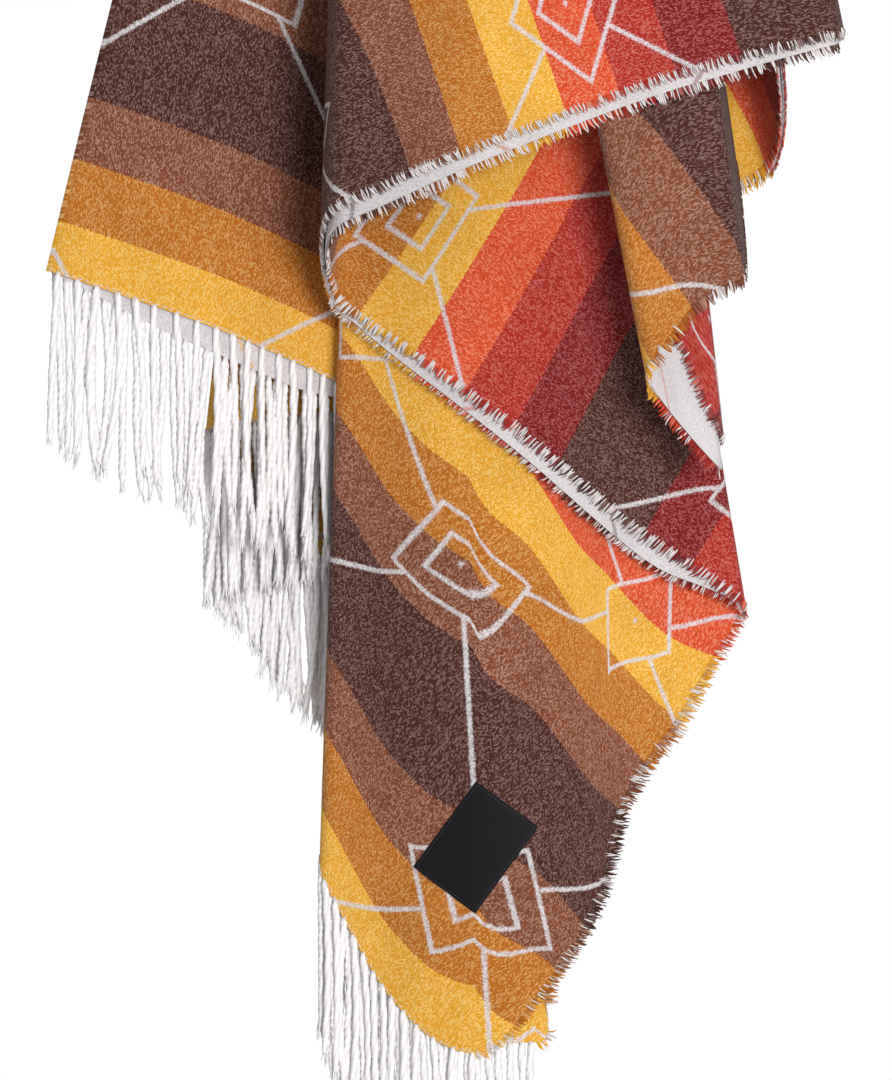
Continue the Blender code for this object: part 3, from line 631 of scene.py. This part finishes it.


# White cotton yarn, two plies wound round each other: painted shade darkens the colour in the groove between
# the plies, with fine fibres across. The UV map's first value is nought in the groove.
def twistedCotton():
    material, tree, shader = newMaterial("twisted cotton yarn", 0.9, 0.6)
    dark, light = (linearColour(c) for c in yarnSettings["cottonColours"])
    turned = addNode(tree, "UVMap", {}, uv_map="flat")
    turned = addNode(tree, "SeparateXYZ", {0: turned})
    groove = addNode(tree, "Math", {0: turned}, operation="ABSOLUTE")
    place = addNode(tree, "TexCoord", {}, "Object")
    fibre = addNode(tree, "TexNoise", {"Vector": place, "Scale": yarnSettings["cottonRate"], "Detail": 2.0})
    # painted shade: the colour darkens towards the groove between the plies
    shade = addNode(tree, "MapRange", {0: groove, 1: 0.0, 2: yarnSettings["cottonGrooveShade"], 3: 0.0, 4: 1.0})
    tint = addNode(tree, "Math", {0: fibre, 1: yarnSettings["cottonFibre"]}, operation="ADD")
    shade = addNode(tree, "Math", {0: shade, 1: tint}, operation="MULTIPLY")
    colour = addNode(tree, "Mix", {"Factor": shade, 6: dark, 7: light}, 2, data_type="RGBA")
    tree.links.new(colour, shader.inputs["Base Color"])
    rounded = addNode(tree, "Math", {0: groove}, operation="SQRT")
    bumps = {0: fibre, 1: yarnSettings["cottonFibreHeight"], 2: rounded}
    height = addNode(tree, "Math", bumps, operation="MULTIPLY_ADD")
    bump = addNode(tree, "Bump", {"Strength": 0.3, "Distance": 0.0004, "Height": height})
    tree.links.new(bump, shader.inputs["Normal"])
    return material


tapeSettings = {
    "colours": ("#0a0a0d", "#17171c"),
    "rib": 0.55,  # mm from one crosswise rib to the next
    "warp": 0.8,  # mm from one warp thread to the next
}


# Black polyester tape, satin-woven: a slight shine over fine ribs. Its UV map is in metres.
def wovenTape():
    material, tree, shader = newMaterial("black woven tape", 0.55, 0.15)
    dark, light = (linearColour(c) for c in tapeSettings["colours"])
    place = addNode(tree, "UVMap", {}, uv_map="flat")
    parts = addNode(tree, "SeparateXYZ", {0: place}).node.outputs
    threads = []
    for part, spacing in ((parts[1], tapeSettings["rib"]), (parts[0], tapeSettings["warp"])):
        count = addNode(tree, "Math", {0: part, 1: 1000.0 / spacing}, operation="MULTIPLY")
        threads.append(addNode(tree, "Math", {0: count, 1: 0.5}, operation="PINGPONG"))
    weave = addNode(tree, "Math", {0: threads[1], 1: 0.5, 2: threads[0]}, operation="MULTIPLY_ADD")
    tint = addNode(tree, "MapRange", {0: weave, 1: 0.0, 2: 0.75, 3: 0.0, 4: 1.0})
    colour = addNode(tree, "Mix", {"Factor": tint, 6: dark, 7: light}, 2, data_type="RGBA")
    tree.links.new(colour, shader.inputs["Base Color"])
    bump = addNode(tree, "Bump", {"Strength": 0.4, "Distance": 0.0002, "Height": weave})
    tree.links.new(bump, shader.inputs["Normal"])
    return material


# Black polyester thread, spun tight: a dark line with a faint glint where it bends.
def sewingThread():
    material, tree, shader = newMaterial("black sewing thread", 0.6, 0.2)
    dark, light = (linearColour(c) for c in yarnSettings["threadColours"])
    place = addNode(tree, "TexCoord", {}, "Object")
    noise = addNode(tree, "TexNoise", {"Vector": place, "Scale": yarnSettings["threadRate"]})
    colour = addNode(tree, "Mix", {"Factor": noise, 6: dark, 7: light}, 2, data_type="RGBA")
    tree.links.new(colour, shader.inputs["Base Color"])
    return material


striped = stripedWool()
reverse = reverseWool()
whiteEnds = whiteWool()
cotton = twistedCotton()
tape = wovenTape()
labelThread = sewingThread()
print("materials: done")


# The doubled cloth as one closed sheet: the striped face, the white face and the
# hem between them. Each face closes over the top along a ridge.
def buildBlanket():
    rise = len(clothSettings["riseShares"])
    points, flats, faces, slots = [], [], [], []

    def addSkin(away, slot):
        base = sum(len(p) for p in points)
        columns, flat = clothColumns(away)
        count = len(columns)
        points.append(columns.reshape(-1, 3))
        flats.append(flat.reshape(-1, 2))
        for c in range(count):
            a, b = base + c * rise, base + (c + 1) % count * rise
            pastCorner = 2 * stationCount + 1 - c - cornerSpots[0]
            curled = slot == 1 and 0 <= pastCorner <= clothSettings["curlWide"]
            for r in range(rise - 1):
                faces.append((a + r, a + r + 1, b + r + 1, b + r))
                slots.append(0 if curled and r >= rise - 1 - clothSettings["curlTall"] else slot)
        ridge = base + count * rise
        middles = np.array([clothPlace(i, edge["top"][i], 1) for i in range(stationCount)])
        points.append(middles + (0.0, 0.0, away))
        flats.append(np.stack((0.0 * edge["topV"], edge["topV"]), axis=-1))
        first = base + rise
        last = base + (count - 1) * rise
        for i in range(stationCount - 1):
            one, two = first + i * rise, last - i * rise
            faces.append((one, one + rise, ridge + i + 1, ridge + i))
            faces.append((ridge + i, ridge + i + 1, two - rise, two))
            slots.extend((slot, slot))
        farNose = base + (stationCount + 1) * rise
        farRidge = ridge + stationCount - 1
        faces.append((base, first, ridge))
        faces.append((base, ridge, last))
        faces.append((farNose, farRidge, farNose - rise))
        faces.append((farNose, farNose + rise, farRidge))
        slots.extend((slot,) * 4)
        return [base + c * rise + rise - 1 for c in range(count)]

    outer = addSkin(clothSettings["outer"], 0)
    inner = addSkin(clothSettings["inner"], 1)
    for c in range(len(outer)):
        n = (c + 1) % len(outer)
        faces.append((outer[c], inner[c], inner[n], outer[n]))
        slots.append(1)
    flat = np.concatenate(flats) / clothSettings["length"]
    thing = meshObject("blanket_cloth", np.concatenate(points), faces, (striped, reverse), slots, flat)
    bm = bmesh.new()
    bm.from_mesh(thing.data)
    bmesh.ops.recalc_face_normals(bm, faces=bm.faces)
    bm.to_mesh(thing.data)
    bm.free()
    return thing


blanketCloth = buildBlanket()
blanketCloth.data.set_sharp_from_angle(angle=math.radians(55.0))  # the hem's corners stay crisp
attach(blanketCloth, "root")
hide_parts("blanket")
print("blanket:", len(blanketCloth.data.polygons) * 2, "triangles")


# Gathers many small tubes into one mesh.
class Bundle:
    askew = Vector((0.31, 0.95, 0.05))  # no tube runs this way

    def __init__(self):
        self.points, self.flats, self.faces, self.slots = [], [], [], []

    def tube(self, path, radii, sides, slot, flatAt, turn=0.0, deep=1.0, twist=0.0):
        base = len(self.points)
        path = [Vector(p) for p in path]
        for k, point in enumerate(path):
            way = (path[min(k + 1, len(path) - 1)] - path[max(k - 1, 0)]).normalized()
            first = way.cross(self.askew).normalized()
            second = way.cross(first)
            spin = turn + twist * k
            wide = first * math.cos(spin) + second * math.sin(spin)
            narrow = (second * math.cos(spin) - first * math.sin(spin)) * deep
            for s in range(sides):
                angle = 2 * math.pi * s / sides
                spot = point + (wide * math.cos(angle) + narrow * math.sin(angle)) * radii[k]
                self.points.append(tuple(spot))
                self.flats.append(flatAt(k, angle))
        for k in range(len(path) - 1):
            for s in range(sides):
                n = (s + 1) % sides
                a, b = base + k * sides, base + (k + 1) * sides
                self.faces.append((a + s, a + n, b + n, b + s))
                self.slots.append(slot)
        self.faces.append(tuple(base + s for s in reversed(range(sides))))
        end = base + (len(path) - 1) * sides
        self.faces.append(tuple(end + s for s in range(sides)))
        self.slots.extend((slot, slot))

    def build(self, name, materials):
        return meshObject(name, self.points, self.faces, materials, self.slots, self.flats)


# The hem of one layer, as points in the middle of its thickness, each with the way
# out of the cloth, its panel and its flat place.
def hemLine(layer, first, last):
    middle = (clothSettings["outer"] + clothSettings["inner"]) / 2
    line = []
    for i in range(first, last + 1):
        z = np.array([hemHeight(i, layer)])
        place, side = clothSide(i, z, layer)
        unit = side[0] / np.linalg.norm(side[0])
        sign = 1.0 if layer == 1 else -1.0
        at = Vector(place[0] + side[0] * middle)
        line.append((at, Vector(unit), edge["rank"][i], sign * edge["u"][i], edge["v"][i]))
    return line


# Even steps along such a line, each a little longer or shorter by chance.
def walkLine(line, spacing, start=0.0):
    along = [0.0]
    for here, there in zip(line, line[1:]):
        along.append(along[-1] + (there[0] - here[0]).length)
    spot = 0
    length = start
    while length < along[-1]:
        while along[spot + 1] < length:
            spot += 1
        share = (length - along[spot]) / max(along[spot + 1] - along[spot], 1e-6)
        here, there = line[spot], line[spot + 1]
        tangent = (there[0] - here[0]).normalized()
        side = here[1].lerp(there[1], share).normalized()
        down = tangent.cross(side).normalized()
        if down.z > 0:
            down.negate()
        values = [here[n] + (there[n] - here[n]) * share for n in (2, 3, 4)]
        yield here[0].lerp(there[0], share), side, tangent, down, values
        length += spacing * random.uniform(0.8, 1.2)


# The cut ends along both long edges.
tuftSettings = {
    "spacing": 1.12,
    "whiteAbove": 3.1,  # how far a white or a coloured end reaches up over the face
    "colourAbove": 0.8,
    "below": (4.6, 6.2),  # on the front layer and on the back one, as is the radius
    "radius": (0.45, 0.55),
    "lift": 1.25,  # clears the striped face
    "sides": 4,
    "slant": 0.9,
    "slantSpread": 0.9,
    "mixedFrom": 9.2,  # flat units: more of the ends are white from here to there
    "mixedTo": 28.5,
    "whiteMixed": 0.5,
    "whiteElsewhere": 0.14,
}


def buildTufts():
    bundle = Bundle()
    for layer in (1, 2):
        line = hemLine(layer, cornerSpots[0], cornerSpots[1])
        for point, side, tangent, down, (rank, u, v) in walkLine(line, tuftSettings["spacing"]):
            mixed = tuftSettings["mixedFrom"] < v < tuftSettings["mixedTo"]
            isWhite = random.random() < tuftSettings["whiteMixed" if mixed else "whiteElsewhere"]
            slant = tangent * random.gauss(tuftSettings["slant"], tuftSettings["slantSpread"])
            lean = side * random.uniform(-0.6, 0.8)
            above = tuftSettings["whiteAbove" if isWhite else "colourAbove"] * random.uniform(0.2, 1.0)
            below = tuftSettings["below"][layer - 1] * random.uniform(0.6, 1.15)
            out = side * tuftSettings["lift"]
            # It starts above the hem, comes over its rim and hangs past it.
            path = (
                point + out * 0.96 - down * above - slant * 0.3,
                point + out,
                point + out * 0.48 + down * below * 0.6 + slant * 0.4,
                point + lean + down * below + slant,
            )
            radius = tuftSettings["radius"][layer - 1] * random.uniform(0.8, 1.3)
            radii = (radius * 0.5, radius, radius * 0.9, radius * 0.35)
            flat = (u / clothSettings["length"], v / clothSettings["length"])
            bundle.tube(path, radii, tuftSettings["sides"], 0 if isWhite else 1, lambda k, angle: flat)
    return bundle.build("selvedge_tufts", (whiteEnds, striped))


tufts = buildTufts()
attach(tufts, "root")
print("tufts:", sum(len(p.vertices) - 2 for p in tufts.data.polygons), "triangles")


# The twisted strands at both short ends, and the stitches at their roots.
fringeSettings = {
    "frontPanels": (9, 11),  # seen from the front, and so made finer than the rest
    "pitch": 11.5,
    "rearPitch": 6.6,
    "length": 104.0,
    "radius": 2.6,
    "rearRadius": 2.75,
    "deep": 0.84,  # a strand is this much flatter one way, which shows its twist
    "twistLength": 34.0,
    "rings": 34,
    "rearRings": 22,
    "sides": 7,
    "tuck": 0.8,  # a strand's root lies this far above the hem
    "drift": 4.0,
    "bow": 2.0,
    "swell": 1.2,
    "swellTurn": 2.6,
    "fibres": 7,  # loose ends at a strand's tip
    "fibreLength": 9.0,
    "fibreRadii": (0.45, 0.5, 0.2),
    "stitchSpacing": 4.4,
    "stitchLong": 2.9,
    "stitchRadius": 0.36,
    "stitchRise": 1.4,
    "stitchLift": 1.25,
}


# A strand hangs from its root, a little astray, and keeps clear of the next panels.
def strandPath(root, rank, side, tangent, rings):
    length = fringeSettings["length"] * random.uniform(0.94, 1.0)
    drift = random.gauss(0.0, fringeSettings["drift"])
    bow = random.gauss(0.0, fringeSettings["bow"])
    swell = random.uniform(-fringeSettings["swell"], fringeSettings["swell"])
    path = []
    for k in range(rings):
        share = k / (rings - 1)
        point = root - Vector((0.0, 0.0, share * length))
        level = Vector((tangent.x, tangent.y, 0.0)).normalized()
        point += level * (drift * share ** 1.5 + bow * math.sin(share * math.pi))
        point.y += (rank - clothSettings["middleRank"]) * float(pitchAt(-point.z) - pitchAt(-root.z))
        point.y += float(valleyAt(point.x, -point.z) - valleyAt(root.x, -root.z))
        point += side * (swell * math.sin(share * fringeSettings["swellTurn"]))
        path.append(point)
    return path


# The spans of the hem, one for each layer and panel, and whether each is seen
# from the front. The others hang closer together.
def fringeSpans(first, last):
    turns = [i for i in range(first + 1, last) if abs(edge["rank"][i] - edge["rank"][i - 1]) > 0]
    marks = [first]
    for i in turns:
        if i - 1 not in turns:
            marks.append(i + clothSettings["turnSteps"] // 2)
    marks.append(last)
    for start, stop in zip(marks, marks[1:]):
        middle = (start + stop) // 2
        for layer in (1, 2):
            panel = round(edge["rank"][middle])
            yield layer, start, stop, layer == 1 and panel in fringeSettings["frontPanels"]


def buildFringe(name, first, last):
    bundle = Bundle()
    sides, deep = fringeSettings["sides"], fringeSettings["deep"]
    for layer, start, stop, front in fringeSpans(first, last):
        line = hemLine(layer, start, stop)
        pitch = fringeSettings["pitch" if front else "rearPitch"]
        rings = fringeSettings["rings" if front else "rearRings"]
        twist = 2 * math.pi * fringeSettings["length"] / (rings - 1) / fringeSettings["twistLength"]
        for point, side, tangent, down, (rank, u, v) in walkLine(line, pitch, pitch * 0.4):
            path = strandPath(point - down * fringeSettings["tuck"], rank, side, tangent, rings)
            thick = fringeSettings["radius" if front else "rearRadius"] * random.uniform(0.9, 1.06)
            radii = [thick * (1.0 - 0.1 * k / rings) for k in range(rings)]
            # A thin root and a worn tip.
            radii[0] *= 0.75
            radii[-2] *= 0.85
            radii[-1] *= 0.55
            turn = random.uniform(0.0, math.pi)
            bundle.tube(path, radii, sides, 0, lambda k, angle: (math.cos(angle), 0.0), turn, deep, twist)
            way = (path[-1] - path[-2]).normalized()
            for _ in range(fringeSettings["fibres"]):
                spread = Vector([random.gauss(0.0, 0.9) for _ in range(3)])
                reach = way * fringeSettings["fibreLength"] * random.uniform(0.3, 1.0)
                ends = (path[-3] + spread * 0.6, path[-1] + spread, path[-1] + reach * 0.6 + spread * 1.7)
                bundle.tube(ends, fringeSettings["fibreRadii"], 3, 0, lambda k, angle: (1.0, 0.0))
        for point, side, tangent, down, (rank, u, v) in walkLine(line, fringeSettings["stitchSpacing"]):
            middle = point + side * fringeSettings["stitchLift"] - down * fringeSettings["stitchRise"]
            half = tangent * (fringeSettings["stitchLong"] / 2)
            radius = fringeSettings["stitchRadius"]
            path = (middle - half, middle + side * 0.25, middle + half)
            bundle.tube(path, (radius * 0.6, radius, radius * 0.6), 5, 1, lambda k, angle: (1.0, 0.0))
    return bundle.build(name, (cotton, whiteEnds))


for name, first, last in (("near", 0, cornerSpots[0]), ("far", cornerSpots[1], stationCount - 1)):
    fringe = buildFringe("fringe_strands_" + name, first, last)
    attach(fringe, "root")
    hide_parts("fringe_" + name)
    print("fringe", name + ":", sum(len(p.vertices) - 2 for p in fringe.data.polygons), "triangles")


# The label, laid on the long panel and sewn round its edge.
labelSettings = {
    "wide": 45.0,
    "long": 63.0,
    "thick": 0.7,
    "gap": 0.5,
    "x": 15.0,  # its middle
    "drop": 1034.0,
    "turn": math.radians(-36.0),
    "columns": 18,
    "rows": 25,
    "rollWidth": 1.2,  # the edge is rounded over this much
    "rollThick": 0.55,  # of the thickness is left at the very edge
    "stitchInset": 1.6,
    "stitchSpacing": 2.4,
    "stitchLift": 1.3,
    "stitchRadii": (0.12, 0.22, 0.12),
}


# The point of the cloth's front at a place measured from the label's middle.
def labelPlace(tree, across, up):
    cosine, sine = math.cos(labelSettings["turn"]), math.sin(labelSettings["turn"])
    x = (labelSettings["x"] + across * cosine - up * sine) * millimetre
    z = (-labelSettings["drop"] + across * sine + up * cosine) * millimetre
    hit = tree.ray_cast(Vector((x, -1.0, z)), Vector((0.0, 1.0, 0.0)))[0]
    return Vector((x, hit.y, z)) / millimetre


def buildLabel(cloth):
    tree = BVHTree.FromObject(cloth, bpy.context.evaluated_depsgraph_get())
    wide, long = labelSettings["wide"], labelSettings["long"]
    bm = bmesh.new()
    bmesh.ops.create_grid(bm, x_segments=labelSettings["columns"], y_segments=labelSettings["rows"], size=0.5)
    uv = bm.loops.layers.uv.new("flat")
    for face in bm.faces:
        for loop in face.loops:
            loop[uv].uv = (loop.vert.co.x * wide * millimetre, loop.vert.co.y * long * millimetre)
    for vert in bm.verts:
        place = labelPlace(tree, vert.co.x * wide, vert.co.y * long)
        vert.co = (place - Vector((0.0, labelSettings["gap"], 0.0))) * millimetre
    front = bmesh.ops.extrude_face_region(bm, geom=list(bm.faces), use_keep_orig=True)["geom"]
    for vert in front:
        if isinstance(vert, bmesh.types.BMVert):
            rise = min(abs(labelEdge(vert.co / millimetre)) / labelSettings["rollWidth"], 1.0)
            share = labelSettings["rollThick"] + (1.0 - labelSettings["rollThick"]) * rise
            vert.co.y -= labelSettings["thick"] * millimetre * share
    bmesh.ops.recalc_face_normals(bm, faces=bm.faces)
    mesh = bpy.data.meshes.new("label_patch")
    bm.to_mesh(mesh)
    bm.free()
    mesh.materials.append(tape)
    mesh.shade_smooth()
    mesh.set_sharp_from_angle(angle=math.radians(60.0))
    thing = bpy.data.objects.new("label_patch", mesh)
    bpy.context.scene.collection.objects.link(thing)
    return thing, tree


# How far a place is from the label's nearest edge.
def labelEdge(place):
    cosine, sine = math.cos(labelSettings["turn"]), math.sin(labelSettings["turn"])
    x, z = place.x - labelSettings["x"], place.z + labelSettings["drop"]
    across, up = x * cosine + z * sine, -x * sine + z * cosine
    return min(labelSettings["wide"] / 2 - abs(across), labelSettings["long"] / 2 - abs(up))


def buildLabelStitches(tree):
    bundle = Bundle()
    inset = labelSettings["stitchInset"]
    wide, long = labelSettings["wide"] / 2 - inset, labelSettings["long"] / 2 - inset
    corners = ((-wide, -long), (wide, -long), (wide, long), (-wide, long), (-wide, -long))
    for here, there in zip(corners, corners[1:]):
        run = math.dist(here, there)
        count = round(run / labelSettings["stitchSpacing"])
        for n in range(count):
            ends = []
            for share in ((n + 0.15) / count, (n + 0.5) / count, (n + 0.85) / count):
                across = here[0] + (there[0] - here[0]) * share
                up = here[1] + (there[1] - here[1]) * share
                ends.append(labelPlace(tree, across, up) - Vector((0.0, labelSettings["stitchLift"], 0.0)))
            bundle.tube(ends, labelSettings["stitchRadii"], 5, 0, lambda k, angle: (0.0, 0.0))
    return bundle.build("label_stitches", (labelThread,))


bpy.context.view_layer.update()
labelPatch, clothTree = buildLabel(blanketCloth)
labelStitches = buildLabelStitches(clothTree)
for piece in (labelPatch, labelStitches):
    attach(piece, "root")
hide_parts("label")
print("label: done")


# Pale floor, white surroundings and soft studio light. The sizes are in metres.
stageSettings = {
    "floorHeight": -1.34,
    "floorRadius": 0.95,
    "floorColour": "#ececec",
    "backdrop": 1.0,  # how bright it is straight behind the cloth, and elsewhere
    "surroundings": 0.43,
    "backdropSpan": (0.80, 0.97),
    "keyPlace": (0.75, -2.4, -0.7),
    "keyAim": (0.0, 0.0, -0.9),
    "keySize": 0.9,
    "keyPower": 51.0,
}


# The floor is painted board, matt and almost white.
def buildStage():
    bm = bmesh.new()
    bmesh.ops.create_circle(bm, cap_ends=True, radius=stageSettings["floorRadius"], segments=96)
    mesh = bpy.data.meshes.new("floor")
    bm.to_mesh(mesh)
    bm.free()
    floor = bpy.data.objects.new("floor", mesh)
    floor.location.z = stageSettings["floorHeight"]
    bpy.context.scene.collection.objects.link(floor)
    material, tree, shader = newMaterial("pale matt floor", 0.9, 0.0)
    shader.inputs["Base Color"].default_value = linearColour(stageSettings["floorColour"])
    mesh.materials.append(material)
    floor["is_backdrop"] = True
    world = bpy.data.worlds.new("white surroundings")
    world.use_nodes = True
    tree = world.node_tree
    background = tree.nodes["Background"]
    background.inputs["Color"].default_value = (1.0, 1.0, 1.0, 1.0)
    way = addNode(tree, "TexCoord", {}, "Generated")
    ahead = addNode(tree, "SeparateXYZ", {0: way}, 1)
    near, far = stageSettings["backdropSpan"]
    dim, bright = stageSettings["surroundings"], stageSettings["backdrop"]
    strength = addNode(tree, "MapRange", {0: ahead, 1: near, 2: far, 3: dim, 4: bright})
    tree.links.new(strength, background.inputs["Strength"])
    bpy.context.scene.world = world
    bpy.context.scene.view_settings.view_transform = "Standard"


def addKeyLight():
    light = bpy.data.lights.new("key", "AREA")
    light.shape = "DISK"
    light.size = stageSettings["keySize"]
    light.energy = stageSettings["keyPower"]
    thing = bpy.data.objects.new("key", light)
    place, aim = Vector(stageSettings["keyPlace"]), Vector(stageSettings["keyAim"])
    thing.location = place
    thing.rotation_euler = (aim - place).to_track_quat("-Z", "Y").to_euler()
    bpy.context.scene.collection.objects.link(thing)


# The photo's frame is 892 by 1080 pixels of 0.585 mm at the cloth.
cameraSettings = {
    "pixel": 0.585,
    "wide": 892,
    "tall": 1080,
    "zeroX": 450,  # the hanging point, in pixels across and above the frame
    "zeroZ": 920,
    "lens": 150.0,
    "sensor": 36.0,
}


def addCamera():
    pixel = cameraSettings["pixel"] * millimetre
    camera = bpy.data.cameras.new("camera")
    camera.lens = cameraSettings["lens"]
    camera.sensor_width = cameraSettings["sensor"]
    distance = cameraSettings["tall"] * pixel * cameraSettings["lens"] / cameraSettings["sensor"]
    thing = bpy.data.objects.new("camera", camera)
    x = (cameraSettings["wide"] / 2 - cameraSettings["zeroX"]) * pixel
    z = -(cameraSettings["tall"] / 2 + cameraSettings["zeroZ"]) * pixel
    thing.location = (x, -distance, z)
    thing.rotation_euler = (math.pi / 2, 0.0, 0.0)
    bpy.context.scene.collection.objects.link(thing)
    bpy.context.scene.camera = thing


buildStage()
addKeyLight()
addCamera()
print("stage: done")

boxes = {"cad": cadBox, "visual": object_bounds()}
{name: [[float(c) for c in corner] for corner in box] for name, box in boxes.items()}
